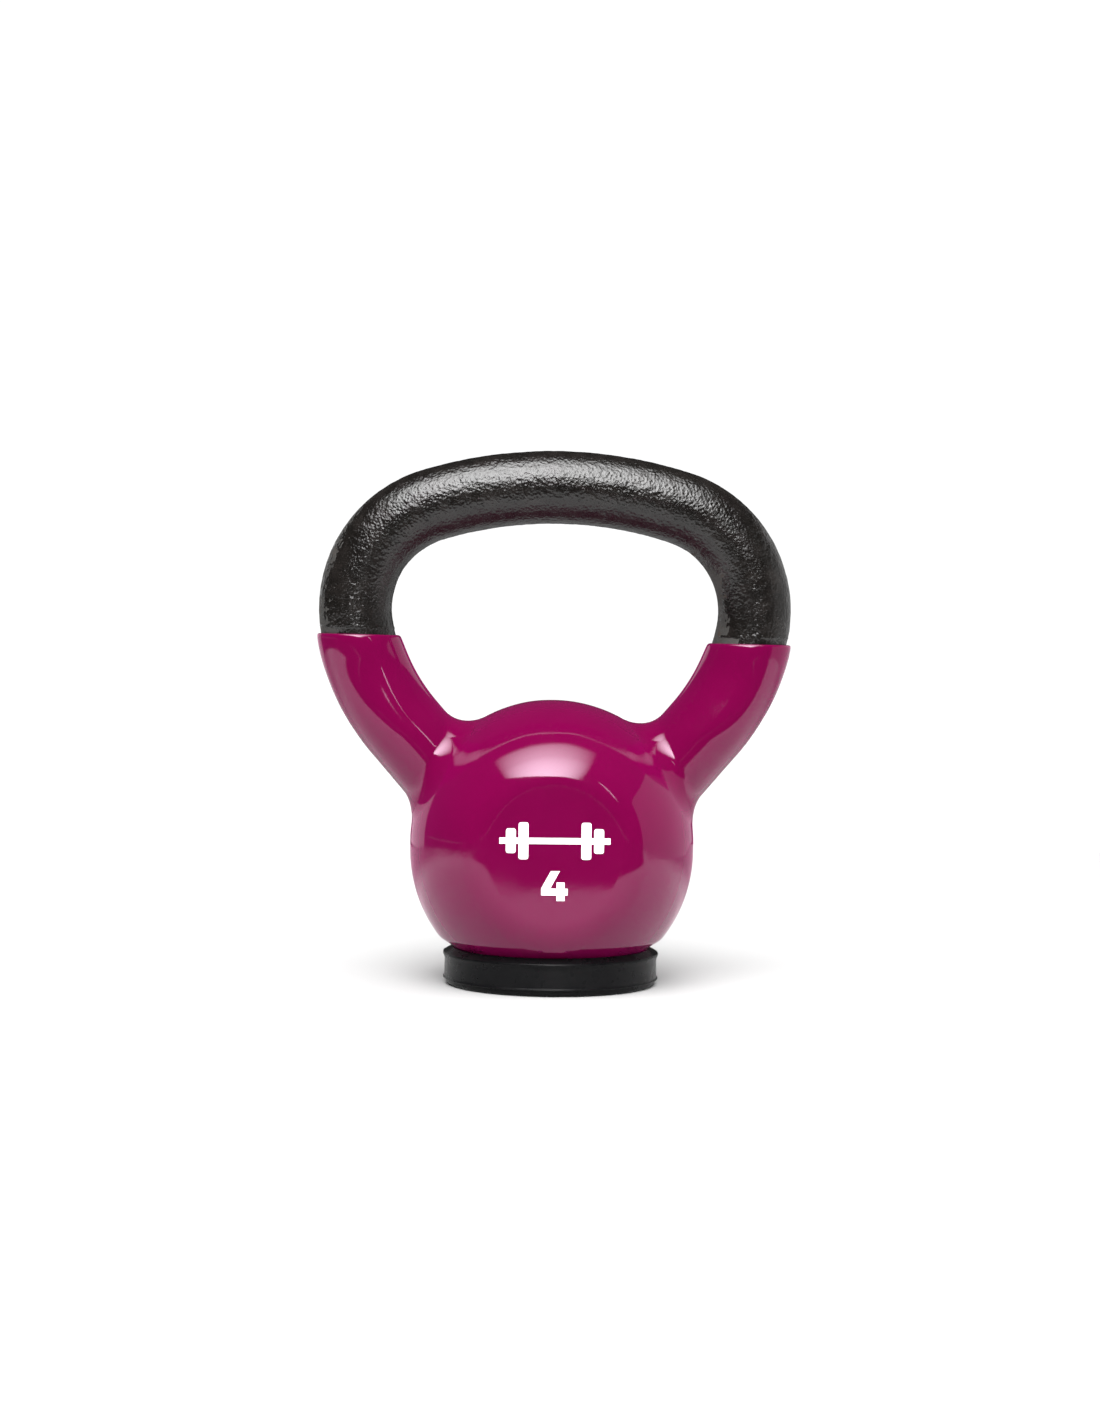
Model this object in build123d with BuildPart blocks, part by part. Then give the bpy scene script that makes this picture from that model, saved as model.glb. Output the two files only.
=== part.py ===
from build123d import *
import os
from math import radians, sqrt, tan

# A 4 kg kettlebell. +Z is up, the front (printed) side faces -Y, and the origin is
# the centre of the rubber foot's underside, on the floor. All sizes are millimetres.

# ---------------------------------------------------------------- driving dimensions

# Bell: an iron ball with a short straight belt at its middle, a flat underside, and a
# flat facet at the front and the back
BELL_RADIUS = 45.9
BELL_CENTRE_HEIGHT = 45.4
BELT_HEIGHT = 2.9
FACET_DISTANCE = 38.3
FACET_EDGE_RADIUS = 13.0

# Handle: a round bar whose centreline falls away from the top in three tangent arcs
# on each side, the grip, the shoulder and the horn, and then runs straight into the bell
BAR_RADIUS = 12.0
GRIP_AXIS_HEIGHT = 168.2
GRIP_ARC_RADIUS = 140.0
GRIP_ARC_ANGLE = 17.4
SHOULDER_ARC_RADIUS = 36.7
SHOULDER_ARC_ANGLE = 83.6
HORN_ARC_RADIUS = 71.5
HORN_ARC_ANGLE = 29.7
HORN_ROOT_LENGTH = 50.0
HORN_ROOT_FILLET = 12.0

# Coats: enamel on the bare grip, and the vinyl dip over the bell and horns. The dip
# stopped at a level that leans to one side, so the left cuff is higher than the right.
ENAMEL_THICKNESS = 0.35
VINYL_THICKNESS = 2.1
DIP_HEIGHT = 116.9
DIP_LEAN_ANGLE = 0.85
CUFF_OVERLAP = 6.0
CUFF_RIM_RADIUS = 0.7

# Rubber foot: a moulded cup, glued on, with a wedge lip and a thin mould-joint ledge
FOOT_FLOOR_THICKNESS = 3.6
FOOT_BASE_RADIUS = 35.1
FOOT_SKIRT_RADIUS = 35.6
FOOT_BASE_BEVEL = 0.6
LEDGE_RADIUS = 36.5
LEDGE_BOTTOM_HEIGHT = 2.1
LEDGE_TOP_HEIGHT = 2.7
FOOT_WALL_RADIUS = 36.1
FOOT_WALL_TOP_HEIGHT = 10.0
LIP_RADIUS = 36.6
LIP_EDGE_HEIGHT = 11.6
LIP_TOP_HEIGHT = 13.2
LIP_CLEARANCE = 0.05
BOND_THICKNESS = 0.4
BOND_TOP_HEIGHT = 11.0

# Prints on the front facet: the numeral, and a barbell mark with two plates each side
INK_THICKNESS = 0.12
NUMERAL_CENTRE_HEIGHT = 37.0
NUMERAL_WIDTH = 8.6
NUMERAL_HEIGHT = 9.7
STEM_WIDTH = 2.6
STEM_HEIGHT = 6.0
STEM_RIGHT_MARGIN = 1.0
CROSSBAR_BOTTOM = 1.8
CROSSBAR_TOP = 4.0
DIAGONAL_WIDTH = 2.9
DIAGONAL_LEAN = 3.1
MARK_CENTRE_HEIGHT = 51.6
MARK_LENGTH = 36.0
MARK_BAR_THICKNESS = 2.0
MARK_PLATE_WIDTH = 3.2
MARK_CORNER_RADIUS = 0.8
MARK_INNER_PLATE_X = 10.2
MARK_INNER_PLATE_HEIGHT = 12.0
MARK_OUTER_PLATE_X = 14.3
MARK_OUTER_PLATE_HEIGHT = 8.0

# ---------------------------------------------------------------- derived sizes

JACKET_RADIUS = BELL_RADIUS + VINYL_THICKNESS
JACKET_FACET_DISTANCE = FACET_DISTANCE + VINYL_THICKNESS
JACKET_BASE_HEIGHT = FOOT_FLOOR_THICKNESS + BOND_THICKNESS
CORE_BASE_HEIGHT = JACKET_BASE_HEIGHT + VINYL_THICKNESS
SEAT_RADIUS = JACKET_RADIUS + BOND_THICKNESS

dip_plane = Plane(
    origin=(0, 0, DIP_HEIGHT),
    x_dir=(1, 0, -tan(radians(DIP_LEAN_ANGLE))),
    z_dir=(tan(radians(DIP_LEAN_ANGLE)), 0, 1),
)


def bell_point(sphere_radius, height):
    """Point (radius, height) in profile on a sphere about the bell's centre."""
    return (sqrt(sphere_radius**2 - (BELL_CENTRE_HEIGHT - height) ** 2), height)


def front_plane(height):
    """Plane on the vinyl of the front facet, with its own Y pointing up."""
    origin = (0, -JACKET_FACET_DISTANCE, height)
    return Plane(origin=origin, x_dir=(1, 0, 0), z_dir=(0, -1, 0))


with BuildLine(Plane.XZ) as handle_line:
    grip = JernArc((0, GRIP_AXIS_HEIGHT), (1, 0), GRIP_ARC_RADIUS, -GRIP_ARC_ANGLE)
    shoulder = JernArc(grip @ 1, grip % 1, SHOULDER_ARC_RADIUS, -SHOULDER_ARC_ANGLE)
    horn = JernArc(shoulder @ 1, shoulder % 1, HORN_ARC_RADIUS, -HORN_ARC_ANGLE)
    Line(horn @ 1, horn @ 1 + horn % 1 * HORN_ROOT_LENGTH)
    mirror(about=Plane.YZ)

handle_path = handle_line.wires()[0]


def sweep_bar(outer_radius, inner_radius=0):
    """Sweep a round bar, or a tube, along the whole handle, in the part that is open."""
    with BuildSketch(Plane(origin=handle_path @ 0, z_dir=handle_path % 0)) as section:
        Circle(outer_radius)
        if inner_radius:
            Circle(inner_radius, mode=Mode.SUBTRACT)
    sweep(sections=section.sketch, path=handle_path)


def build_body(body, coat, base_height):
    """Build bell, horns and handle in the open part, grown outward by a coat's thickness."""
    radius = BELL_RADIUS + coat
    sweep_bar(BAR_RADIUS + coat)
    with BuildSketch(Plane.YZ) as profile:
        with Locations((0, BELL_CENTRE_HEIGHT + BELT_HEIGHT / 2)):
            SlotOverall(2 * radius + BELT_HEIGHT, 2 * radius, rotation=90)
        split(bisect_by=Plane.YZ)
    revolve(profiles=profile.sketch, axis=Axis.Z)
    fillet(body.edges().filter_by(GeomType.BSPLINE), radius=HORN_ROOT_FILLET - coat)
    split(bisect_by=Plane.XY.offset(base_height), keep=Keep.TOP)
    facet_distance = FACET_DISTANCE + coat
    split(bisect_by=Plane.XZ.offset(facet_distance), keep=Keep.BOTTOM)
    split(bisect_by=Plane.XZ.offset(-facet_distance), keep=Keep.TOP)
    facets = body.faces().filter_by(Plane.XZ)
    fillet(facets.edges(), radius=FACET_EDGE_RADIUS + coat)


# ---------------------------------------------------------------- iron core

with BuildPart() as iron_core:
    build_body(iron_core, 0, CORE_BASE_HEIGHT)

# ---------------------------------------------------------------- handle enamel
# A thin coat on the bare grip that ends a little way under each vinyl cuff.

with BuildPart() as handle_enamel:
    sweep_bar(BAR_RADIUS + ENAMEL_THICKNESS, BAR_RADIUS)
    split(bisect_by=dip_plane.offset(-CUFF_OVERLAP), keep=Keep.TOP)

# ---------------------------------------------------------------- vinyl jacket
# The dip follows the iron and the end of the enamel, and stops at two rounded rims.

with BuildPart() as vinyl_jacket:
    build_body(vinyl_jacket, VINYL_THICKNESS, JACKET_BASE_HEIGHT)
    split(bisect_by=dip_plane, keep=Keep.BOTTOM)
    rims = vinyl_jacket.faces().filter_by(dip_plane)
    fillet(rims.edges(), radius=CUFF_RIM_RADIUS)
    add(iron_core.part, mode=Mode.SUBTRACT)
    add(handle_enamel.part, mode=Mode.SUBTRACT)

# ---------------------------------------------------------------- foot adhesive
# A bond line between the vinyl and the seat of the rubber cup.

with BuildPart() as foot_adhesive:
    with BuildSketch(Plane.XZ):
        with BuildLine():
            jacket_edge = bell_point(JACKET_RADIUS, JACKET_BASE_HEIGHT)
            seat_edge = bell_point(SEAT_RADIUS, FOOT_FLOOR_THICKNESS)
            Polyline((0, JACKET_BASE_HEIGHT), (0, FOOT_FLOOR_THICKNESS), seat_edge)
            RadiusArc(seat_edge, bell_point(SEAT_RADIUS, BOND_TOP_HEIGHT), -SEAT_RADIUS)
            Line(bell_point(SEAT_RADIUS, BOND_TOP_HEIGHT), bell_point(JACKET_RADIUS, BOND_TOP_HEIGHT))
            RadiusArc(jacket_edge, bell_point(JACKET_RADIUS, BOND_TOP_HEIGHT), -JACKET_RADIUS)
            Line(jacket_edge, (0, JACKET_BASE_HEIGHT))
        make_face()
    revolve(axis=Axis.Z)

# ---------------------------------------------------------------- rubber foot

with BuildPart() as rubber_foot:
    with BuildSketch(Plane.XZ):
        with BuildLine():
            Polyline(
                (0, FOOT_FLOOR_THICKNESS),
                (0, 0),
                (FOOT_BASE_RADIUS, 0),
                (FOOT_SKIRT_RADIUS, FOOT_BASE_BEVEL),
                (FOOT_SKIRT_RADIUS, LEDGE_BOTTOM_HEIGHT),
                (LEDGE_RADIUS, LEDGE_BOTTOM_HEIGHT),
                (FOOT_WALL_RADIUS, LEDGE_TOP_HEIGHT),
                (FOOT_WALL_RADIUS, FOOT_WALL_TOP_HEIGHT),
                (LIP_RADIUS, LIP_EDGE_HEIGHT),
                bell_point(JACKET_RADIUS + LIP_CLEARANCE, LIP_TOP_HEIGHT),
            )
            lip_root = bell_point(JACKET_RADIUS + LIP_CLEARANCE, BOND_TOP_HEIGHT)
            lip_tip = bell_point(JACKET_RADIUS + LIP_CLEARANCE, LIP_TOP_HEIGHT)
            RadiusArc(lip_root, lip_tip, -(JACKET_RADIUS + LIP_CLEARANCE))
            Line(lip_root, bell_point(SEAT_RADIUS, BOND_TOP_HEIGHT))
            RadiusArc(seat_edge, bell_point(SEAT_RADIUS, BOND_TOP_HEIGHT), -SEAT_RADIUS)
            Line(seat_edge, (0, FOOT_FLOOR_THICKNESS))
        make_face()
    revolve(axis=Axis.Z)

# ---------------------------------------------------------------- weight numeral
# An open-topped 4: a leaning stroke, a crossbar and a short stem.

stem_right = NUMERAL_WIDTH - STEM_RIGHT_MARGIN
stem_left = stem_right - STEM_WIDTH

with BuildPart() as weight_numeral:
    with BuildSketch(front_plane(NUMERAL_CENTRE_HEIGHT)):
        with BuildLine(Location((-NUMERAL_WIDTH / 2, -NUMERAL_HEIGHT / 2))):
            Polyline(
                (stem_left, 0),
                (stem_right, 0),
                (stem_right, CROSSBAR_BOTTOM),
                (NUMERAL_WIDTH, CROSSBAR_BOTTOM),
                (NUMERAL_WIDTH, CROSSBAR_TOP),
                (stem_right, CROSSBAR_TOP),
                (stem_right, STEM_HEIGHT),
                (stem_left, STEM_HEIGHT),
                (stem_left, CROSSBAR_TOP),
                (DIAGONAL_WIDTH, CROSSBAR_TOP),
                (DIAGONAL_WIDTH + DIAGONAL_LEAN, NUMERAL_HEIGHT),
                (DIAGONAL_LEAN, NUMERAL_HEIGHT),
                (0, CROSSBAR_TOP),
                (0, CROSSBAR_BOTTOM),
                (stem_left, CROSSBAR_BOTTOM),
                close=True,
            )
        make_face()
    extrude(amount=INK_THICKNESS)

# ---------------------------------------------------------------- printed mark

with BuildPart() as printed_mark:
    with BuildSketch(front_plane(MARK_CENTRE_HEIGHT)):
        Rectangle(MARK_LENGTH, MARK_BAR_THICKNESS)
        with Locations((-MARK_INNER_PLATE_X, 0), (MARK_INNER_PLATE_X, 0)):
            RectangleRounded(MARK_PLATE_WIDTH, MARK_INNER_PLATE_HEIGHT, MARK_CORNER_RADIUS)
        with Locations((-MARK_OUTER_PLATE_X, 0), (MARK_OUTER_PLATE_X, 0)):
            RectangleRounded(MARK_PLATE_WIDTH, MARK_OUTER_PLATE_HEIGHT, MARK_CORNER_RADIUS)
    extrude(amount=INK_THICKNESS)

# ---------------------------------------------------------------- STEP files

pieces = {
    "iron_core": iron_core,
    "handle_enamel": handle_enamel,
    "vinyl_jacket": vinyl_jacket,
    "foot_adhesive": foot_adhesive,
    "rubber_foot": rubber_foot,
    "weight_numeral": weight_numeral,
    "printed_mark": printed_mark,
}

os.makedirs("parts", exist_ok=True)
for name, piece in pieces.items():
    piece.part.label = name
    export_step(piece.part, f"parts/{name}.step")
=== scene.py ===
import math

import bpy
import numpy as np
from mathutils import Matrix, Vector, noise


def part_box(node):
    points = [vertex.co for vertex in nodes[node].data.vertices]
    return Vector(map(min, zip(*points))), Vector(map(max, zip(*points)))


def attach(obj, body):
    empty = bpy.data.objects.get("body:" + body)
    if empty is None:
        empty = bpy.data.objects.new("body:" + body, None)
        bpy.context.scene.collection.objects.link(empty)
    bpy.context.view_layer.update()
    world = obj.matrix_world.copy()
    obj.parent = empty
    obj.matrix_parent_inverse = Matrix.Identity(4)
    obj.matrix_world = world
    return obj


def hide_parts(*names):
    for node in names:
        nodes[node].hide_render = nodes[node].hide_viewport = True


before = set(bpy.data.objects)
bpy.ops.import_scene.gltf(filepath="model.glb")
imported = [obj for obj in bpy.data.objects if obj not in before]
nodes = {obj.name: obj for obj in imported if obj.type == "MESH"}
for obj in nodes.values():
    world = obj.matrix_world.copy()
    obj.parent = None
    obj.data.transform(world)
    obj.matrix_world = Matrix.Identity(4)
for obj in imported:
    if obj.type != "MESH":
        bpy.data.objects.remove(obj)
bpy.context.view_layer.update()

# Looks of a vinyl-dipped kettlebell: a glossy raspberry jacket over the bell and horns,
# an orange-peel black enamel grip, a moulded rubber foot, and two white prints.
# Shapes are worked out in millimetres and written to the meshes in metres.

MM = 0.001

# ---------------------------------------------------------------- sizes from the frame

jacket_low, jacket_high = (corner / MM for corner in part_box("vinyl_jacket"))
enamel_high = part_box("handle_enamel")[1] / MM
foot_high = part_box("rubber_foot")[1] / MM

FACET_DISTANCE = jacket_high.y
JACKET_BASE_HEIGHT = jacket_low.z
HANDLE_TOP = enamel_high.z
FOOT_LIP_RADIUS = foot_high.x
FOOT_LIP_TOP = foot_high.z

# ---------------------------------------------------------------- driving dimensions, mm

# Bell: two half balls a short belt apart, with a softly rounded facet front and back
BELL_RADIUS = 48.0
BELL_LOW_CENTRE = 45.4
BELL_HIGH_CENTRE = 48.3
FACET_EDGE_RADIUS = 15.0

# Handle: its centreline is three tangent arcs a side, grip, shoulder and horn, with
# their angles counted from straight up, and then a straight root into the bell
ENAMEL_RADIUS = 12.35
IRON_RADIUS = 12.0
GRIP_ARC_RADIUS = 140.0
SHOULDER_ARC_RADIUS = 36.7
HORN_ARC_RADIUS = 71.5
GRIP_END = math.radians(17.4)
SHOULDER_END = math.radians(101.0)
HORN_END = math.radians(130.7)
HORN_ROOT_LENGTH = 50.0
HANDLE_SHIFT = 0.35

# Vinyl on the horns: they swell to the front and back towards the bell, and the vinyl
# thins towards the rim, where the dip drained off
HORN_RADIUS = 14.1
HORN_SWELL = 0.15
HORN_SWELL_TOP = 110.0
HORN_SWELL_BOTTOM = 84.0
HORN_ARC_LEAD = 0.35              # radians
DIP_HEIGHT = 116.9
DIP_SLOPE = math.tan(math.radians(0.85))
RIM_THINNING = 0.5
RIM_THINNING_DEPTH = 2.5
RIM_ROUNDING = 1.3

# Vinyl at the foot: the bell tucks in where the rubber lip grips it
TUCK_TOP = 16.4
TUCK_BOTTOM = 13.0
TUCK_DEPTH = 1.35
BASE_ROUNDING = 0.4

# Fillet of a horn into the bell: wide from a little outside the horn's axis towards the
# grip window, and less so at the horn's front and back
INNER_ROOT_BLEND = 9.5
OUTER_ROOT_BLEND = 5.0
INNER_BLEND_LEAD = 0.15
BLEND_NARROWING = 0.7
BLEND_NARROWING_DEPTH = 13.0

# Small waves in the vinyl, in shares of their full height: calm on the bell, lively above
BELL_WAVES = 0.25
BELL_WAVES_TOP = 41.4
HORN_WAVES = 0.95
HORN_WAVES_BOTTOM = 72.0
HORN_WAVES_TOP = 86.0

# ---------------------------------------------------------------- handle centreline


def on_arc(centre, radius, angle):
    """Point (x, z) on an arc, at an angle from straight up."""
    return centre[0] + radius * np.sin(angle), centre[1] + radius * np.cos(angle)


grip_centre = (0.0, HANDLE_TOP - ENAMEL_RADIUS - GRIP_ARC_RADIUS)
grip_end = on_arc(grip_centre, GRIP_ARC_RADIUS, GRIP_END)
shoulder_centre = on_arc(grip_end, -SHOULDER_ARC_RADIUS, GRIP_END)
shoulder_end = on_arc(shoulder_centre, SHOULDER_ARC_RADIUS, SHOULDER_END)
horn_centre = on_arc(shoulder_end, -HORN_ARC_RADIUS, SHOULDER_END)
horn_end = on_arc(horn_centre, HORN_ARC_RADIUS, HORN_END)
root_direction = (math.cos(HORN_END), -math.sin(HORN_END))


def distance_to_arc(x, z, centre, radius, start, end):
    angle = np.clip(np.arctan2(x - centre[0], z - centre[1]), start, end)
    nearest_x, nearest_z = on_arc(centre, radius, angle)
    return np.hypot(x - nearest_x, z - nearest_z)


def distance_to_root(x, z):
    out, up = x - horn_end[0], z - horn_end[1]
    along = np.clip(out * root_direction[0] + up * root_direction[1], 0, HORN_ROOT_LENGTH)
    return np.hypot(out - along * root_direction[0], up - along * root_direction[1])


# ---------------------------------------------------------------- distance fields, mm


def rise(value, start, end):
    """Goes straight from 0 at start to 1 at end, and stays there beyond them."""
    return np.clip((value - start) / (end - start), 0, 1)


def smooth_rise(value, start, end):
    """Goes from 0 at start to 1 at end, with soft ends."""
    share = rise(value, start, end)
    return share * share * (3 - 2 * share)


def smooth_max(a, b, reach):
    """The larger of two distances, rounded where they differ by less than reach."""
    nearness = np.maximum(reach - np.abs(a - b), 0) / reach
    return np.maximum(a, b) + nearness**3 * reach / 6


def round_union(a, b, radius):
    """Two solids joined with a fillet of that radius."""
    fillet = np.hypot(np.maximum(radius - a, 0), np.maximum(radius - b, 0))
    return np.maximum(radius, np.minimum(a, b)) - fillet


def wave_table(seed, count, wavelength, height, shortest=0.7, longest=1.5):
    """Random plane waves: direction over wavelength and phase of each, and their height."""
    random = np.random.RandomState(seed)
    directions = random.normal(size=(count, 3))
    directions /= np.linalg.norm(directions, axis=1, keepdims=True)
    lengths = wavelength * random.uniform(shortest, longest, size=(count, 1))
    phases = random.uniform(0, 2 * np.pi, size=count)
    return 2 * np.pi * directions / lengths, phases, height / math.sqrt(count)


VINYL_WAVES = wave_table(seed=11, count=14, wavelength=19.0, height=0.04)


def waves(x, y, z, table):
    directions, phases, height = table
    total = np.zeros_like(x)
    for direction, phase in zip(directions, phases):
        total += np.sin(x * direction[0] + y * direction[1] + z * direction[2] + phase)
    return total * height


def above_dip(x, z):
    """Height over the level where the dip stopped, which leans to the right."""
    return z - (DIP_HEIGHT - DIP_SLOPE * x)


def bell_field(x, y, z):
    """Distance to the belted ball, its facets and the rounded edges between them."""
    beyond_belt = np.maximum(np.maximum(BELL_LOW_CENTRE - z, z - BELL_HIGH_CENTRE), 0)
    out = np.hypot(x, beyond_belt)
    front = np.abs(y)
    edge_front = FACET_DISTANCE - FACET_EDGE_RADIUS
    edge_out = math.sqrt((BELL_RADIUS - FACET_EDGE_RADIUS) ** 2 - edge_front**2)
    ball = np.hypot(out, front) - BELL_RADIUS
    edge = np.hypot(out - edge_out, front - edge_front) - FACET_EDGE_RADIUS
    ball = ball + TUCK_DEPTH * smooth_rise(z, TUCK_TOP, TUCK_BOTTOM)
    on_ball = out * edge_front > front * edge_out
    return np.where(on_ball, ball, np.where(out > edge_out, edge, front - FACET_DISTANCE))


def horn_field(x, y, z):
    """Distance to both horns, whose arcs are led on past the rim."""
    side = np.abs(x - HANDLE_SHIFT)
    arc_start = SHOULDER_END - HORN_ARC_LEAD
    arc = distance_to_arc(side, z, horn_centre, HORN_ARC_RADIUS, arc_start, HORN_END)
    axis = np.minimum(arc, distance_to_root(side, z))
    depth = np.maximum(-above_dip(x, z), 0)
    front = y * (1 - HORN_SWELL * smooth_rise(z, HORN_SWELL_TOP, HORN_SWELL_BOTTOM))
    return np.hypot(axis, front) - HORN_RADIUS + RIM_THINNING * np.exp(-depth / RIM_THINNING_DEPTH)


def root_blend(x, y, z):
    """Fillet radius where a horn meets the bell: wide towards the grip, tight elsewhere."""
    out, up = np.abs(x - HANDLE_SHIFT) - horn_end[0], z - horn_end[1]
    across = (out * root_direction[1] - up * root_direction[0]) / HORN_RADIUS
    inward = smooth_rise(across, -INNER_BLEND_LEAD, 1 - INNER_BLEND_LEAD)
    inward = inward * (1 - BLEND_NARROWING * rise(np.abs(y), 0, BLEND_NARROWING_DEPTH) ** 2)
    return OUTER_ROOT_BLEND + (INNER_ROOT_BLEND - OUTER_ROOT_BLEND) * inward


def jacket_field(x, y, z):
    """Distance to the vinyl: bell and horns, cut at the dip's level and at the base."""
    body = round_union(bell_field(x, y, z), horn_field(x, y, z), root_blend(x, y, z))
    wavy = BELL_WAVES * rise(z, TUCK_TOP, BELL_WAVES_TOP)
    wavy = wavy + HORN_WAVES * rise(z, HORN_WAVES_BOTTOM, HORN_WAVES_TOP)
    body = body + waves(x, y, z, VINYL_WAVES) * wavy
    body = smooth_max(body, above_dip(x, z), RIM_ROUNDING)
    return smooth_max(body, JACKET_BASE_HEIGHT - z, BASE_ROUNDING)


def field_gradient(field, points):
    """Slope of a field at each point, which is also the way its surface faces."""
    step = 0.04
    x, y, z = points.T
    slope = np.stack(
        [
            field(x + step, y, z) - field(x - step, y, z),
            field(x, y + step, z) - field(x, y - step, z),
            field(x, y, z + step) - field(x, y, z - step),
        ],
        axis=1,
    )
    return slope / (2 * step)


# ---------------------------------------------------------------- meshing


def surface_net(field, axes):
    """Quads over a field's zero level, with one point in each grid cell that it crosses."""
    inside = field(*np.meshgrid(*axes, indexing="ij")) < 0
    spans = [slice(0, -1), slice(1, None)]
    corners = sum(inside[i, j, k].astype(int) for i in spans for j in spans for k in spans)
    crossed = (corners > 0) & (corners < 8)
    index = np.full(crossed.shape, -1)
    index[crossed] = np.arange(crossed.sum())
    cells = np.nonzero(crossed)
    middles = [(axis[1:] + axis[:-1]) / 2 for axis in axes]
    points = np.stack([middles[n][cells[n]] for n in range(3)], axis=1)
    quads = []
    for along in range(3):
        turned = np.moveaxis(inside, along, 0)
        lows = np.argwhere(turned[:-1, 1:-1, 1:-1] != turned[1:, 1:-1, 1:-1])
        turned_index = np.moveaxis(index, along, 0)
        i, j, k = lows[:, 0], lows[:, 1], lows[:, 2]
        ring = [turned_index[i, j + a, k + b] for a, b in ((0, 0), (1, 0), (1, 1), (0, 1))]
        faces = np.stack(ring, axis=1)
        outward = turned[i, j + 1, k + 1]
        if along == 1:            # about Y the ring of cells turns the other way
            outward = ~outward
        faces[~outward] = faces[~outward][:, ::-1]
        quads.append(faces)
    return points, np.concatenate(quads)


def settle(field, points, quads, even_rounds, level_rounds):
    """Even out the net and bring its points onto the field's zero level, then only the latter."""
    evening = 0.6
    flattest = 0.25
    ends = np.concatenate([quads, np.roll(quads, 1, axis=1)]).ravel()
    others = np.concatenate([np.roll(quads, 1, axis=1), quads]).ravel()
    shared = np.bincount(ends, minlength=len(points))[:, None]
    for turn in range(even_rounds + level_rounds):
        if turn < even_rounds:
            sums = [np.bincount(ends, weights=points[others, n], minlength=len(points)) for n in range(3)]
            points = (1 - evening) * points + evening * np.stack(sums, axis=1) / shared
        slope = field_gradient(field, points)
        steepness = np.maximum((slope**2).sum(axis=1), flattest)
        points = points - slope * (field(*points.T) / steepness)[:, None]
    return points


def add_object(name, data):
    """A new object at the origin of the scene, made of a mesh or a camera."""
    thing = bpy.data.objects.new(name, data)
    bpy.context.scene.collection.objects.link(thing)
    return thing


def make_mesh(name, points, faces, normals=None):
    """A smooth-shaded mesh object from points in millimetres."""
    mesh = bpy.data.meshes.new(name)
    mesh.from_pydata((np.asarray(points) * MM).tolist(), [], faces)
    mesh.validate()
    mesh.shade_smooth()
    if normals is not None:
        mesh.normals_split_custom_set_from_vertices(normals.tolist())
    return add_object(name, mesh)


def graded_axis(low, high, coarse, fine_ranges, fine):
    """Grid levels a coarse step apart, and a fine step apart inside the given ranges."""
    levels = [low]
    while levels[-1] < high:
        near = any(start <= levels[-1] < end for start, end in fine_ranges)
        levels.append(levels[-1] + (fine if near else coarse))
    return np.array(levels)


# ---------------------------------------------------------------- shader helpers


class Value:
    """A number or vector made by shader nodes; arithmetic on it adds Math nodes."""

    def __init__(self, tree, socket):
        self.tree = tree
        self.socket = socket

    def math(self, operation, *others):
        node = self.tree.nodes.new("ShaderNodeMath")
        node.operation = operation
        for slot, item in enumerate((self,) + others):
            put(self.tree, node.inputs[slot], item)
        return Value(self.tree, node.outputs[0])

    def __add__(self, other):
        return self.math("ADD", other)

    def __sub__(self, other):
        return self.math("SUBTRACT", other)

    def __mul__(self, other):
        return self.math("MULTIPLY", other)

    def __truediv__(self, other):
        return self.math("DIVIDE", other)

    def dot(self, vector):
        node = self.tree.nodes.new("ShaderNodeVectorMath")
        node.operation = "DOT_PRODUCT"
        self.tree.links.new(self.socket, node.inputs[0])
        node.inputs[1].default_value = vector
        return Value(self.tree, node.outputs["Value"])

    def ramp(self, start, end, low=0.0, high=1.0):
        """Goes smoothly from low at start to high at end, and stays there beyond them."""
        node = self.tree.nodes.new("ShaderNodeMapRange")
        node.interpolation_type = "SMOOTHSTEP"
        flipped = start > end
        first, last = (end, start) if flipped else (start, end)
        put(self.tree, node.inputs["Value"], self)
        node.inputs["From Min"].default_value = first
        node.inputs["From Max"].default_value = last
        node.inputs["To Min"].default_value = high if flipped else low
        node.inputs["To Max"].default_value = low if flipped else high
        return Value(self.tree, node.outputs["Result"])


def put(tree, socket, item):
    """Link a Value to a socket, or set the socket to a plain number or colour."""
    if isinstance(item, Value):
        tree.links.new(item.socket, socket)
    else:
        socket.default_value = item


def position(tree):
    """Object coordinates in metres, which are the frame's own coordinates."""
    return Value(tree, tree.nodes.new("ShaderNodeTexCoord").outputs["Object"])


def noise_texture(tree, vector, per_metre, detail=2.0, roughness=0.5):
    node = tree.nodes.new("ShaderNodeTexNoise")
    tree.links.new(vector.socket, node.inputs["Vector"])
    node.inputs["Scale"].default_value = per_metre
    node.inputs["Detail"].default_value = detail
    node.inputs["Roughness"].default_value = roughness
    return Value(tree, node.outputs["Fac"])


def cells_texture(tree, vector, per_metre, smoothness):
    node = tree.nodes.new("ShaderNodeTexVoronoi")
    node.feature = "SMOOTH_F1"
    tree.links.new(vector.socket, node.inputs["Vector"])
    node.inputs["Scale"].default_value = per_metre
    node.inputs["Smoothness"].default_value = smoothness
    return Value(tree, node.outputs["Distance"])


def mix_colour(tree, factor, first, second):
    """The first colour where the factor is 0 and the second where it is 1."""
    first_colour, second_colour, result = 6, 7, 2        # the Mix node's colour sockets
    node = tree.nodes.new("ShaderNodeMix")
    node.data_type = "RGBA"
    put(tree, node.inputs["Factor"], factor)
    put(tree, node.inputs[first_colour], first)
    put(tree, node.inputs[second_colour], second)
    return Value(tree, node.outputs[result])


def mix_shaders(tree, factor, first, second, output):
    """Send an output node the first shader where the factor is 0 and the second where it is 1."""
    node = tree.nodes.new("ShaderNodeMixShader")
    put(tree, node.inputs[0], factor)
    tree.links.new(first.outputs[0], node.inputs[1])
    tree.links.new(second.outputs[0], node.inputs[2])
    tree.links.new(node.outputs[0], output.inputs["Surface"])


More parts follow.
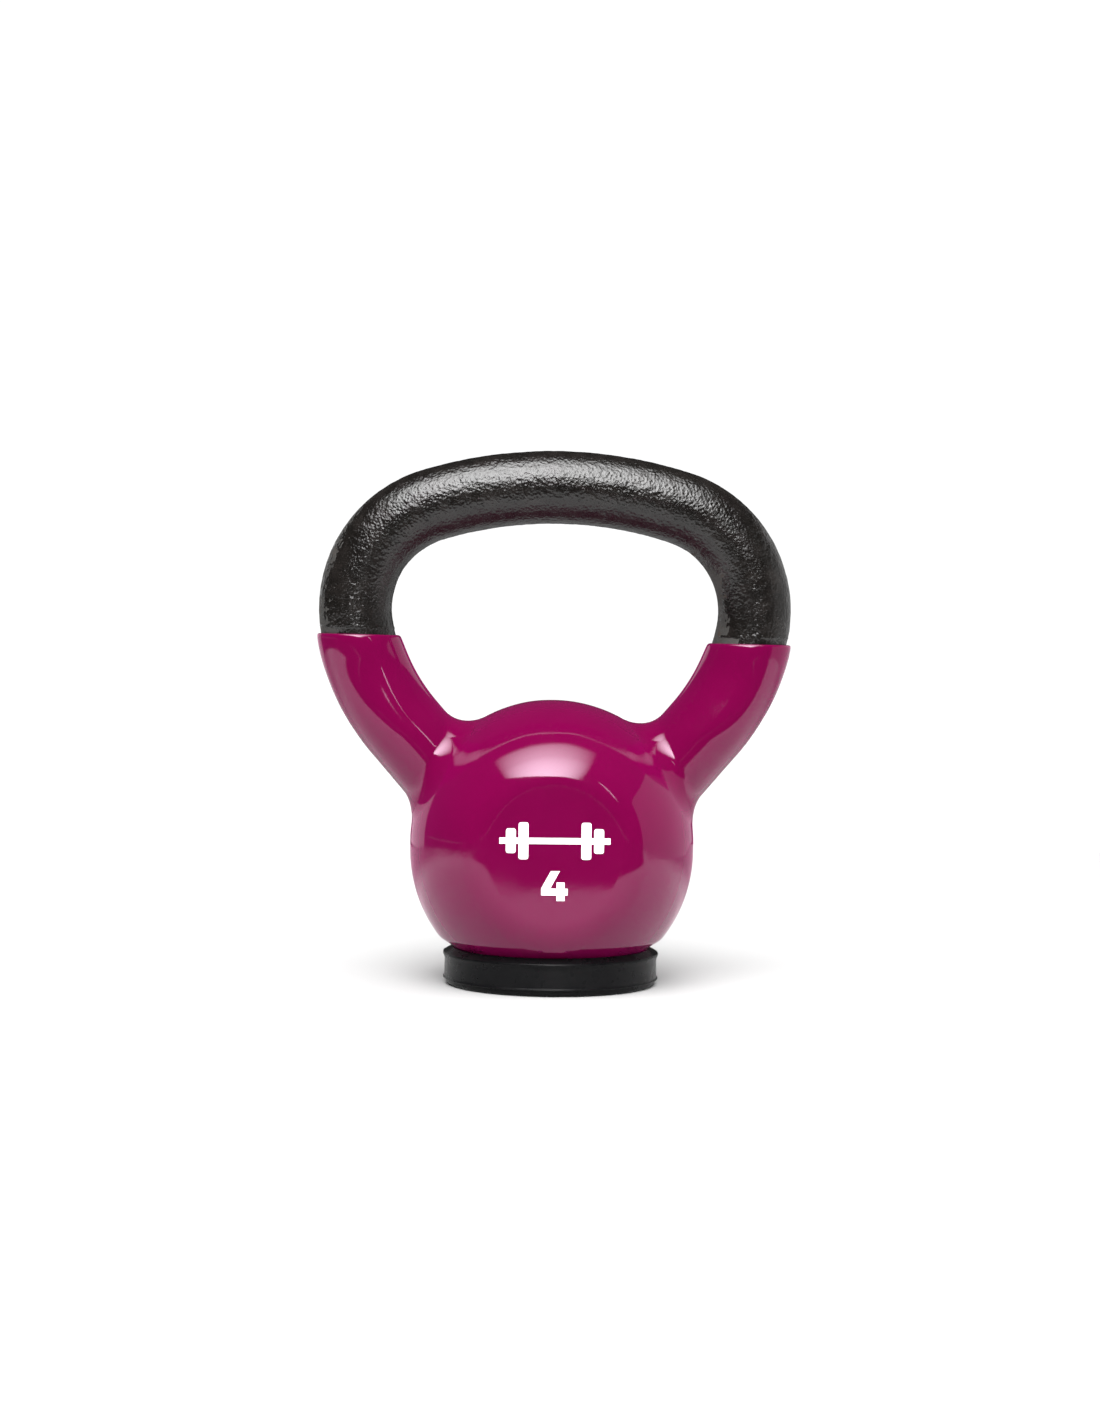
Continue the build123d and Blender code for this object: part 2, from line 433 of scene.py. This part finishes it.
def bump(tree, height, strength, distance):
    node = tree.nodes.new("ShaderNodeBump")
    put(tree, node.inputs["Height"], height)
    node.inputs["Strength"].default_value = strength
    node.inputs["Distance"].default_value = distance
    return Value(tree, node.outputs["Normal"])


def new_material(name):
    """A node material; returns it with its tree and its Principled shader."""
    material = bpy.data.materials.new(name)
    material.use_nodes = True
    tree = material.node_tree
    return material, tree, tree.nodes["Principled BSDF"]


# ---------------------------------------------------------------- materials


def vinyl_material():
    """Glossy raspberry plastisol, with faint clouding in its colour and its gloss."""
    material, tree, shader = new_material("raspberry_vinyl")
    place = position(tree)
    clouds = noise_texture(tree, place, per_metre=55.0, detail=3.0)
    deep = (0.095, 0.0003, 0.0268, 1.0)
    bright = (0.107, 0.0005, 0.0305, 1.0)
    put(tree, shader.inputs["Base Color"], mix_colour(tree, clouds, deep, bright))
    film = noise_texture(tree, place, per_metre=140.0, detail=4.0)
    put(tree, shader.inputs["Roughness"], film.ramp(0.35, 0.75, low=0.045, high=0.085))
    pores = noise_texture(tree, place, per_metre=900.0)
    put(tree, shader.inputs["Normal"], bump(tree, pores, strength=0.02, distance=0.0002))
    shader.inputs["IOR"].default_value = 1.5
    shader.inputs["Specular Tint"].default_value = (1.0, 0.8, 0.97, 1.0)
    shader.inputs["Sheen Weight"].default_value = 0.22
    shader.inputs["Sheen Roughness"].default_value = 0.45
    shader.inputs["Sheen Tint"].default_value = (0.75, 0.02, 0.33, 1.0)
    return material


def enamel_material():
    """Baked black enamel over sand-cast iron: fine orange peel and a few dull patches."""
    material, tree, shader = new_material("black_enamel")
    place = position(tree)
    mottle = noise_texture(tree, place, per_metre=160.0, detail=5.0, roughness=0.65)
    black = (0.0048, 0.0041, 0.0036, 1.0)
    worn = (0.0120, 0.0100, 0.0092, 1.0)
    put(tree, shader.inputs["Base Color"], mix_colour(tree, mottle.ramp(0.35, 0.75), black, worn))
    haze = noise_texture(tree, place, per_metre=420.0, detail=4.0, roughness=0.6)
    put(tree, shader.inputs["Roughness"], haze.ramp(0.3, 0.7, low=0.09, high=0.22))
    peel = cells_texture(tree, place, per_metre=1000.0, smoothness=0.6)
    grit = noise_texture(tree, place, per_metre=1500.0, detail=3.0, roughness=0.6)
    gritty_peel = peel + grit * 0.8
    put(tree, shader.inputs["Normal"], bump(tree, gritty_peel, strength=0.75, distance=0.00022))
    shader.inputs["IOR"].default_value = 1.5
    return material


def rubber_material():
    """Moulded black rubber with a satin skin and a little pale bloom."""
    material, tree, shader = new_material("black_rubber")
    place = position(tree)
    bloom = noise_texture(tree, place, per_metre=90.0, detail=6.0, roughness=0.7)
    dark = (0.0034, 0.0034, 0.0038, 1.0)
    pale = (0.0060, 0.0059, 0.0062, 1.0)
    put(tree, shader.inputs["Base Color"], mix_colour(tree, bloom.ramp(0.4, 0.8), dark, pale))
    skin = noise_texture(tree, place, per_metre=260.0, detail=3.0)
    put(tree, shader.inputs["Roughness"], skin.ramp(0.3, 0.7, low=0.26, high=0.34))
    put(tree, shader.inputs["Normal"], bump(tree, skin, strength=0.03, distance=0.0001))
    shader.inputs["Specular IOR Level"].default_value = 0.10
    return material


def ink_material():
    """White pad-printing ink with a slightly uneven film."""
    material, tree, shader = new_material("white_ink")
    place = position(tree)
    film = noise_texture(tree, place, per_metre=1200.0, detail=3.0)
    thin = (0.86, 0.83, 0.85, 1.0)
    full = (0.93, 0.92, 0.93, 1.0)
    put(tree, shader.inputs["Base Color"], mix_colour(tree, film.ramp(0.25, 0.5), thin, full))
    put(tree, shader.inputs["Roughness"], film.ramp(0.3, 0.7, low=0.30, high=0.42))
    put(tree, shader.inputs["Normal"], bump(tree, film, strength=0.15, distance=0.00005))
    return material


def iron_material():
    """Grey cast iron as it leaves the sand: dark, grainy and a little rusty."""
    material, tree, shader = new_material("cast_iron")
    place = position(tree)
    rust = noise_texture(tree, place, per_metre=120.0, detail=6.0, roughness=0.7)
    grey = (0.085, 0.082, 0.078, 1.0)
    brown = (0.100, 0.052, 0.030, 1.0)
    put(tree, shader.inputs["Base Color"], mix_colour(tree, rust.ramp(0.55, 0.75), grey, brown))
    put(tree, shader.inputs["Roughness"], rust.ramp(0.3, 0.7, low=0.45, high=0.75))
    grain = noise_texture(tree, place, per_metre=1400.0, detail=4.0)
    put(tree, shader.inputs["Normal"], bump(tree, grain, strength=0.5, distance=0.0003))
    shader.inputs["Metallic"].default_value = 0.8
    return material


def adhesive_material():
    """Dried contact adhesive, amber and blotchy."""
    material, tree, shader = new_material("adhesive")
    place = position(tree)
    blotches = noise_texture(tree, place, per_metre=200.0, detail=4.0)
    amber = (0.34, 0.20, 0.07, 1.0)
    cream = (0.52, 0.42, 0.24, 1.0)
    put(tree, shader.inputs["Base Color"], mix_colour(tree, blotches, amber, cream))
    put(tree, shader.inputs["Roughness"], blotches.ramp(0.3, 0.7, low=0.3, high=0.55))
    return material


def dress(piece, material):
    """Give a piece one material."""
    piece.data.materials.clear()
    piece.data.materials.append(material)


# ---------------------------------------------------------------- vinyl jacket


def make_jacket():
    """The dip over the bell and both horns, up to its two leaning rims."""
    margin, coarse = 1.5, 0.95
    cuff_sides = [(-84.0, -50.0), (50.0, 84.0)]
    cuff_depths = [(-15.0, 15.0)]
    rim_levels = [(DIP_HEIGHT - 2.6, DIP_HEIGHT + 1.6)]
    low = [edge - margin for edge in jacket_low]
    high = [edge + margin for edge in jacket_high]
    axes = [
        graded_axis(low[0], high[0], coarse, cuff_sides, fine=0.62),
        graded_axis(low[1], high[1], coarse, cuff_depths, fine=0.8),
        graded_axis(low[2], high[2], coarse, rim_levels, fine=0.32),
    ]
    points, quads = surface_net(jacket_field, axes)
    points = settle(jacket_field, points, quads, even_rounds=4, level_rounds=3)
    return make_mesh("vinyl_coat", points, quads.tolist(), field_gradient(jacket_field, points))


# ---------------------------------------------------------------- enamelled handle

GRIP_SPAN = GRIP_ARC_RADIUS * GRIP_END
SHOULDER_SPAN = GRIP_SPAN + SHOULDER_ARC_RADIUS * (SHOULDER_END - GRIP_END)
CUFF_OVERLAP = 6.0
PEEL_DEPTH = 0.10                 # mean depth of the peel below the plain tube
HANDLE_RING_STEP = 0.46
HANDLE_SEGMENTS = 168

# Masked strip above each cuff: thinner and calmer enamel up to a line with a small ridge
STRIP_HEIGHT = 2.3
STRIP_STEP = 0.16
STRIP_FADE = 0.5
STRIP_CALM = 0.6
RIDGE_HEIGHT = 0.10
RIDGE_WIDTH = 0.35


def handle_point(distance):
    """Centre (x, z) and angle from straight up, at a signed distance along the centreline."""
    side = math.copysign(1.0, distance)
    length = abs(distance)
    if length < GRIP_SPAN:
        centre, radius, angle = grip_centre, GRIP_ARC_RADIUS, length / GRIP_ARC_RADIUS
    elif length < SHOULDER_SPAN:
        centre, radius = shoulder_centre, SHOULDER_ARC_RADIUS
        angle = GRIP_END + (length - GRIP_SPAN) / SHOULDER_ARC_RADIUS
    else:
        centre, radius = horn_centre, HORN_ARC_RADIUS
        angle = SHOULDER_END + (length - SHOULDER_SPAN) / HORN_ARC_RADIUS
    x, z = on_arc(centre, radius, angle)
    return side * x + HANDLE_SHIFT, z, side * angle


def lumps(point, size, height, offset=(0.0, 0.0, 0.0)):
    """Smooth noise with lumps of about that size and height, mm."""
    return noise.noise(Vector(point) / size + Vector(offset)) * height


def peel_height(point):
    """Height of the enamel's orange peel and of the casting's own unevenness, mm."""
    casting = lumps(point, size=8.0, height=0.10)
    orange_peel = lumps(point, size=2.1, height=0.085, offset=(7.0, 3.0, 1.0))
    pebbles = lumps(point, size=1.1, height=0.06)
    return casting + orange_peel + pebbles - PEEL_DEPTH


def skin_radius(point):
    """The enamel's radius at a point of its plain tube."""
    over_rim = above_dip(point[0], point[2])
    strip = min(max((STRIP_HEIGHT - over_rim) / STRIP_FADE, 0.0), 1.0)
    ridge = math.exp(-(((over_rim - STRIP_HEIGHT) / RIDGE_WIDTH) ** 2))
    peel = peel_height(point) * (1 - STRIP_CALM * strip)
    return ENAMEL_RADIUS + peel + RIDGE_HEIGHT * ridge - STRIP_STEP * strip


def handle_end(side):
    """Distance along the centreline where the enamel ends under a cuff."""
    step = 0.1
    distance = SHOULDER_SPAN
    while True:
        x, z, _ = handle_point(side * distance)
        if above_dip(x, z) < -CUFF_OVERLAP:
            return side * distance
        distance += step


def around_handle(centre, angle, radius):
    """Point round a centreline point (x, z, lean): angle 0 is outward, a quarter turn the front."""
    x, z, lean = centre
    out = radius * math.cos(angle)
    return x + out * math.sin(lean), -radius * math.sin(angle), z + out * math.cos(lean)


def make_handle():
    """The enamel: a peeled outer skin, closed under the cuffs by a plain inner tube."""
    start, end = handle_end(-1), handle_end(1)
    rings = int((end - start) / HANDLE_RING_STEP)
    inner_rings = rings // 10
    angles = np.linspace(0, 2 * np.pi, HANDLE_SEGMENTS, endpoint=False)
    points = []
    for ring in range(rings + 1):
        centre = handle_point(start + (end - start) * ring / rings)
        for angle in angles:
            plain = around_handle(centre, angle, ENAMEL_RADIUS)
            points.append(around_handle(centre, angle, skin_radius(plain)))
    for ring in range(inner_rings + 1):
        centre = handle_point(end + (start - end) * ring / inner_rings)
        points += [around_handle(centre, angle, IRON_RADIUS) for angle in angles]
    loops = rings + inner_rings + 2
    loop, turn = np.meshgrid(np.arange(loops), np.arange(HANDLE_SEGMENTS), indexing="ij")
    here = loop * HANDLE_SEGMENTS
    there = (loop + 1) % loops * HANDLE_SEGMENTS
    beside = (turn + 1) % HANDLE_SEGMENTS
    quads = np.stack([here + turn, there + turn, there + beside, here + beside], axis=-1)
    return make_mesh("enamel_grip", points, quads.reshape(-1, 4).tolist())


# ---------------------------------------------------------------- rubber foot

FOOT_SEGMENTS = 288
FOOT_FLOOR = 3.6
FOOT_BASE_RADIUS = 34.6
FOOT_SKIRT_RADIUS = 35.6
FOOT_WALL_RADIUS = 36.0
FOOT_BEVEL_HEIGHT = 0.8
LEDGE_RADIUS = 36.45
LEDGE_LOW = 2.05
LEDGE_HIGH = 2.75
LIP_FLARE_HEIGHT = 8.9
LIP_EDGE_HEIGHT = 10.3
LIP_DROP = 0.6
LIP_CLEARANCE = 0.01
LIP_ROOT_HEIGHT = 11.0
SEAT_RADIUS = 48.4

# Flash along the ledge: how far it wanders, and how often round the foot
FLASH_DEPTH = 0.07
FLASH_FREQUENCY = 9.0


def seat_corner(radius, height):
    """Sharp profile corner on a ball about the bell's lower centre."""
    return math.sqrt(radius**2 - (BELL_LOW_CENTRE - height) ** 2), height, 0


def rounded(corners, steps=4):
    """A profile with each corner (radius, height, rounding) turned into a short curve."""
    reach = 0.45                  # less than half an edge, so that two curves never meet
    profile = []
    for n, (r, h, rounding) in enumerate(corners):
        here = Vector((r, h))
        if rounding == 0:
            profile.append((r, h))
            continue
        before = Vector(corners[n - 1][:2]) - here
        after = Vector(corners[(n + 1) % len(corners)][:2]) - here
        first = here + before.normalized() * min(rounding, before.length * reach)
        last = here + after.normalized() * min(rounding, after.length * reach)
        for i in range(steps + 1):
            t = i / steps
            profile.append(tuple(first * (1 - t) ** 2 + here * 2 * t * (1 - t) + last * t * t))
    return profile


def foot_corners():
    """The cup's outline in corners (radius, height, rounding), from its floor round the outside.

    The two middle points of the underside keep its shading flat.
    """
    lip_base_radius = BELL_RADIUS - TUCK_DEPTH + LIP_CLEARANCE
    tip_radius, tip_height, _ = seat_corner(lip_base_radius, FOOT_LIP_TOP - LIP_DROP)
    underside = [(0.0, 0.0, 0), (10.0, 0.0, 0), (22.0, 0.0, 0), (FOOT_BASE_RADIUS, 0.0, 0.3)]
    skirt = [(FOOT_SKIRT_RADIUS - 0.1, FOOT_BEVEL_HEIGHT, 0.5), (FOOT_SKIRT_RADIUS, LEDGE_LOW, 0.15)]
    ledge = [
        (LEDGE_RADIUS, LEDGE_LOW + 0.1, 0.15),
        (LEDGE_RADIUS - 0.03, LEDGE_HIGH - 0.2, 0.15),
        (FOOT_WALL_RADIUS + 0.05, LEDGE_HIGH, 0.2),
    ]
    wall = [(FOOT_WALL_RADIUS, 6.0, 0), (FOOT_WALL_RADIUS - 0.05, LIP_FLARE_HEIGHT, 0.8)]
    lip = [
        (FOOT_LIP_RADIUS, LIP_EDGE_HEIGHT, 0.2),
        (FOOT_LIP_RADIUS - 0.15, LIP_EDGE_HEIGHT + 0.6, 0.15),
        (tip_radius + 0.35, tip_height - 0.05, 0.3),
        (tip_radius, tip_height - 0.15, 0.1),
        seat_corner(lip_base_radius, LIP_ROOT_HEIGHT + 0.6),
        seat_corner(lip_base_radius, LIP_ROOT_HEIGHT),
    ]
    seat = [seat_corner(SEAT_RADIUS, h) for h in (LIP_ROOT_HEIGHT, 10.6, 8.8, 7.0, 5.2, FOOT_FLOOR)]
    return [(0.0, FOOT_FLOOR, 0)] + underside + skirt + ledge + wall + lip + seat


def on_ledge(radius, height):
    """Whether a point of the outline is on the ledge that the mould joint left."""
    return radius > LEDGE_RADIUS - 0.35 and LEDGE_LOW - 0.05 < height < LEDGE_HIGH + 0.05


def make_foot():
    """The moulded cup, turned from its outline, with a little flash along its ledge."""
    floor_top, floor_bottom, *ring = rounded(foot_corners())
    points = []
    for n in range(FOOT_SEGMENTS):
        angle = 2 * math.pi * n / FOOT_SEGMENTS
        around = Vector((math.cos(angle), math.sin(angle), 0))
        flash = FLASH_DEPTH * noise.noise(around * FLASH_FREQUENCY)
        for radius, height in ring:
            if on_ledge(radius, height):
                radius += flash
            points.append((radius * math.sin(angle), -radius * math.cos(angle), height))
    top = len(points)
    bottom = top + 1
    points += [(0, 0, floor_top[1]), (0, 0, floor_bottom[1])]
    count = len(ring)
    faces = []
    for n in range(FOOT_SEGMENTS):
        here, there = n * count, ((n + 1) % FOOT_SEGMENTS) * count
        for i in range(count - 1):
            faces.append((here + i, there + i, there + i + 1, here + i + 1))
        faces.append((top, here + count - 1, there + count - 1))
        faces.append((bottom, there, here))
    return make_mesh("rubber_cup", points, faces)


# ---------------------------------------------------------------- studio

# The studio is in metres, and its angles are in degrees.
FLOOR_RADIUS = 3.0
FLOOR_COLOUR = (0.54, 0.54, 0.54, 1.0)
SEEN_FLOOR_COLOUR = (0.398, 0.397, 0.397, 1.0)
# glow of the floor to diffuse rays: painted bounce light
FLOOR_BOUNCE = 1.4
UNLIT_GROUND_LIGHT = 0.05
ROOM_LIGHT = 0.035
BACKDROP_LIGHT = 1.05
WHITE = (1, 1, 1, 1)

# Overhead softbox: its middle, half width, back and reach to the front on a level plane
# one unit up. It is weaker to diffuse rays, and fades at its edges and near the horizon.
SOFTBOX_LIGHT = 19.5
SOFTBOX_MIDDLE = -0.12
SOFTBOX_HALF_WIDTH = 0.63
SOFTBOX_SIDE_FALLOFF = 0.8
SOFTBOX_BACK = -0.1
SOFTBOX_BACK_FALLOFF = 2.0
SOFTBOX_REACH = 2.75
SOFTBOX_SKEW = 0.42
SOFTBOX_LEFT_EDGE = -1.13
SOFTBOX_DIFFUSE_LOSS = 0.52

# Small strip lamp in front, to the right. Its length leans by LAMP_LEAN over LAMP_RISE.
LAMP_LIGHT = 9.0
LAMP_AZIMUTH = 31
LAMP_ELEVATION = 25
LAMP_LEAN = 3
LAMP_RISE = 7
LAMP_HALF_LENGTH = 7.5
LAMP_HALF_WIDTH = 1.3

# Fill for diffuse rays only: strongest from straight above and from the right
FILL_ABOVE = 2.6
FILL_ALL_ROUND = 0.17
FILL_FROM_RIGHT = 0.9


def heading(azimuth, elevation):
    """Unit vector: azimuth 0 looks from the object to the front, -Y, and 90 to +X."""
    a, e = math.radians(azimuth), math.radians(elevation)
    return Vector((math.sin(a) * math.cos(e), -math.cos(a) * math.cos(e), math.sin(e)))


def softbox(direction):
    """The softbox's light by direction, taken to a level plane one unit above the object."""
    lowest = 0.02
    upward = direction.dot((0, 0, 1))
    height = upward.math("MAXIMUM", lowest)
    aside = direction.dot((1, 0, 0)) / height
    ahead = (direction.dot((0, -1, 0)) / height).math("MAXIMUM", SOFTBOX_BACK)
    off_middle = (aside - SOFTBOX_MIDDLE) / SOFTBOX_HALF_WIDTH
    across = (off_middle * off_middle * -1.0 + 1.0).math("MAXIMUM", 0.0)
    across = across.math("POWER", SOFTBOX_SIDE_FALLOFF)
    fading = ((ahead - SOFTBOX_BACK) * -SOFTBOX_BACK_FALLOFF).math("EXPONENT")
    along = fading * -1.0 + 1.0
    back_edge = ahead.ramp(-0.03, 0.05)
    left_edge = (aside - ahead * SOFTBOX_SKEW).ramp(SOFTBOX_LEFT_EDGE, SOFTBOX_LEFT_EDGE + 0.08)
    front_edge = ahead.ramp(SOFTBOX_REACH, SOFTBOX_REACH - 0.35)
    return across * along * back_edge * left_edge * front_edge * upward.ramp(0.15, 0.25) * SOFTBOX_LIGHT


def strip_lamp(direction):
    """The lamp's light by direction: a narrow ellipse with soft edges, leaning to the left."""
    aim = heading(LAMP_AZIMUTH, LAMP_ELEVATION)
    upper_point = heading(LAMP_AZIMUTH - LAMP_LEAN, LAMP_ELEVATION + LAMP_RISE)
    lower_point = heading(LAMP_AZIMUTH + LAMP_LEAN, LAMP_ELEVATION - LAMP_RISE)
    length = (upper_point - lower_point).normalized()
    along = direction.dot(length) / math.sin(math.radians(LAMP_HALF_LENGTH))
    beside = direction.dot(aim.cross(length)) / math.sin(math.radians(LAMP_HALF_WIDTH))
    in_front = direction.dot(aim).ramp(0.0, 0.1)
    return (along * along + beside * beside).ramp(1.0, 0.5, high=LAMP_LIGHT) * in_front


def diffuse_fill(direction):
    above = direction.dot((0, 0, 1)).math("MAXIMUM", 0.0).math("POWER", 3.0)
    return (above * FILL_ABOVE + FILL_ALL_ROUND) * (direction.dot((1, 0, 0)) * FILL_FROM_RIGHT + 1.0)


def make_world():
    """A dim studio with a big softbox over the front, seen as plain white by the camera."""
    world = bpy.data.worlds.new("studio")
    bpy.context.scene.world = world
    world.use_nodes = True
    tree = world.node_tree
    direction = Value(tree, tree.nodes.new("ShaderNodeTexCoord").outputs["Generated"])
    path = tree.nodes.new("ShaderNodeLightPath")
    diffuse = Value(tree, path.outputs["Is Diffuse Ray"])
    box_light = softbox(direction) * (diffuse * -SOFTBOX_DIFFUSE_LOSS + 1.0)
    total = box_light + strip_lamp(direction) + ROOM_LIGHT + diffuse_fill(direction) * diffuse
    studio = tree.nodes["Background"]
    studio.inputs["Color"].default_value = WHITE
    put(tree, studio.inputs["Strength"], total)
    backdrop = tree.nodes.new("ShaderNodeBackground")
    backdrop.inputs["Color"].default_value = WHITE
    backdrop.inputs["Strength"].default_value = BACKDROP_LIGHT
    seen = Value(tree, path.outputs["Is Camera Ray"])
    mix_shaders(tree, seen, studio, backdrop, tree.nodes["World Output"])


def floor_material():
    """Pale paper, of one tone to the camera and another in reflections and bounced light."""
    material, tree, shader = new_material("floor_paper")
    shader.inputs["Roughness"].default_value = 1.0
    shader.inputs["Specular IOR Level"].default_value = 0.0
    path = tree.nodes.new("ShaderNodeLightPath")
    place = position(tree)
    x, y = place.dot((1, 0, 0)), place.dot((0, 1, 0))
    # The floor glows to diffuse rays as painted bounce light, faded out near the foot as painted contact
    # shade.
    clear_of_foot_shade = (x * x + y * y).math("SQRT").ramp(0.035, 0.200)
    bounce = Value(tree, path.outputs["Is Diffuse Ray"]) * FLOOR_BOUNCE * clear_of_foot_shade
    shader.inputs["Emission Color"].default_value = WHITE
    put(tree, shader.inputs["Emission Strength"], bounce)
    seen = Value(tree, path.outputs["Is Camera Ray"])
    put(tree, shader.inputs["Base Color"], mix_colour(tree, seen, FLOOR_COLOUR, SEEN_FLOOR_COLOUR))
    return material


def bare_material(name):
    """A node material with nothing in it but its output; returns it with its tree and output."""
    material = bpy.data.materials.new(name)
    material.use_nodes = True
    tree = material.node_tree
    tree.nodes.clear()
    return material, tree, tree.nodes.new("ShaderNodeOutputMaterial")


def emitter(tree, strength):
    node = tree.nodes.new("ShaderNodeEmission")
    node.inputs["Strength"].default_value = strength
    return node


def glow_material(name, strength):
    material, tree, output = bare_material(name)
    tree.links.new(emitter(tree, strength).outputs[0], output.inputs["Surface"])
    return material


def stage_mesh(name, points, faces, material):
    """A studio piece, in metres, that isn't part of the object."""
    mesh = bpy.data.meshes.new(name)
    mesh.from_pydata(points, [], faces)
    piece = add_object(name, mesh)
    dress(piece, material)
    return piece


def make_floor():
    segments = 96
    turns = [2 * math.pi * n / segments for n in range(segments)]
    rim = [(FLOOR_RADIUS * math.cos(turn), FLOOR_RADIUS * math.sin(turn), 0) for turn in turns]
    stage_mesh("floor", rim, [tuple(range(segments))], floor_material())


def hide_from_camera(piece):
    """Keep a studio piece out of the picture and its shadow too, but not out of reflections."""
    piece.visible_camera = False
    piece.visible_shadow = False


def circle_distance(x, y, centre, stretch=(1.0, 1.0)):
    """Distance from a centre (x, y), after dividing each way by its stretch."""
    across, along = (x - centre[0]) / stretch[0], (y - centre[1]) / stretch[1]
    return (across * across + along * along).math("SQRT")


def ground_material():
    """Dark beyond the lit paper and where it is shaded, clear elsewhere and from below."""
    material, tree, output = bare_material("unlit_ground")
    place = position(tree)
    x, y = place.dot((1, 0, 0)), place.dot((0, 1, 0))
    paper_rim = circle_distance(x, y, centre=(0.06, 0.0), stretch=(1.0, 1 / math.sqrt(1.3)))
    right_shade_patch = circle_distance(x, y, centre=(0.33, -0.42), stretch=(0.27, 0.245))
    foot_shade_spread = circle_distance(x, y, centre=(-0.04, 0.08))
    # Painted shade on the ground: beyond the lit paper, a patch in front to the right, a strip in front,
    # the object's shadow behind it and shade around the foot
    darkness = [
        paper_rim.ramp(0.62, 0.66),
        right_shade_patch.ramp(1.05, 0.93),
        y.ramp(-0.388, -0.402) * x.ramp(-0.60, -0.30),        # the front, except far left
        y.ramp(0.0, 0.22, high=0.72),                         # behind the object
        foot_shade_spread.ramp(0.40, 0.02, high=0.30),
    ]
    dark = darkness[0]
    for part in darkness[1:]:
        dark = dark.math("MAXIMUM", part)
    from_below = Value(tree, tree.nodes.new("ShaderNodeNewGeometry").outputs["Backfacing"])
    clear = tree.nodes.new("ShaderNodeBsdfTransparent")
    mix_shaders(tree, dark - from_below, clear, emitter(tree, UNLIT_GROUND_LIGHT), output)
    return material


def make_dark_ground():
    """A sheet of painted shade: the unlit ground around the paper, hidden from the camera."""
    size, lift = 2.5, 0.0005
    corners = [(-size, -size, lift), (size, -size, lift), (size, size, lift), (-size, size, lift)]
    hide_from_camera(stage_mesh("dark_ground", corners, [(0, 1, 2, 3)], ground_material()))


def make_card(name, start, end, height, strength):
    """An upright card glowing as a panel lamp in place of a white reflector, standing on the floor
    between two points (x, y).
    """
    points = [(*start, 0), (*end, 0), (*end, height), (*start, height)]
    glow = glow_material(name + "_white", strength)
    hide_from_camera(stage_mesh(name, points, [(0, 1, 2, 3)], glow))


# ---------------------------------------------------------------- camera

# Metres and degrees; the lens and the sensor are in millimetres.
CAMERA_AZIMUTH = -1.4
CAMERA_DISTANCE = 0.8645
CAMERA_HEIGHT = 0.1185
CAMERA_SIDE = -0.0011
CAMERA_ROLL = 0.65
AIM_HEIGHT = 0.0925
FOCAL_LENGTH = 64.56
SENSOR_WIDTH = 36.0


def make_camera():
    data = bpy.data.cameras.new("camera")
    data.lens = FOCAL_LENGTH
    data.sensor_width = SENSOR_WIDTH
    data.clip_start = 0.01
    camera = add_object("camera", data)
    eye = heading(CAMERA_AZIMUTH, 0) * CAMERA_DISTANCE + Vector((CAMERA_SIDE, 0, CAMERA_HEIGHT))
    ahead = (Vector((CAMERA_SIDE, 0, AIM_HEIGHT)) - eye).normalized()
    right = ahead.cross(Vector((0, 0, 1))).normalized()
    up = right.cross(ahead)
    roll = math.radians(CAMERA_ROLL)
    rolled_right = right * math.cos(roll) + up * math.sin(roll)
    rolled_up = up * math.cos(roll) - right * math.sin(roll)
    turn = Matrix((rolled_right, rolled_up, -ahead)).transposed()
    camera.matrix_world = Matrix.Translation(eye) @ turn.to_4x4()
    bpy.context.scene.camera = camera


# ---------------------------------------------------------------- making

make_camera()
make_world()
make_floor()
make_dark_ground()
make_card("right_card", start=(0.66, -0.33), end=(0.30, 0.60), height=0.38, strength=0.62)
make_card("left_card", start=(-0.503, 0.327), end=(-0.205, 0.564), height=0.32, strength=0.75)

bpy.context.scene.view_settings.view_transform = "Standard"
bpy.context.scene.view_settings.look = "None"

ink = ink_material()
dress(nodes["iron_core"], iron_material())
dress(nodes["foot_adhesive"], adhesive_material())
dress(nodes["weight_numeral"], ink)
dress(nodes["printed_mark"], ink)

jacket = make_jacket()
dress(jacket, vinyl_material())
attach(jacket, "root")
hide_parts("vinyl_jacket")

handle = make_handle()
dress(handle, enamel_material())
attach(handle, "root")
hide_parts("handle_enamel")

foot = make_foot()
dress(foot, rubber_material())
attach(foot, "root")
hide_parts("rubber_foot")
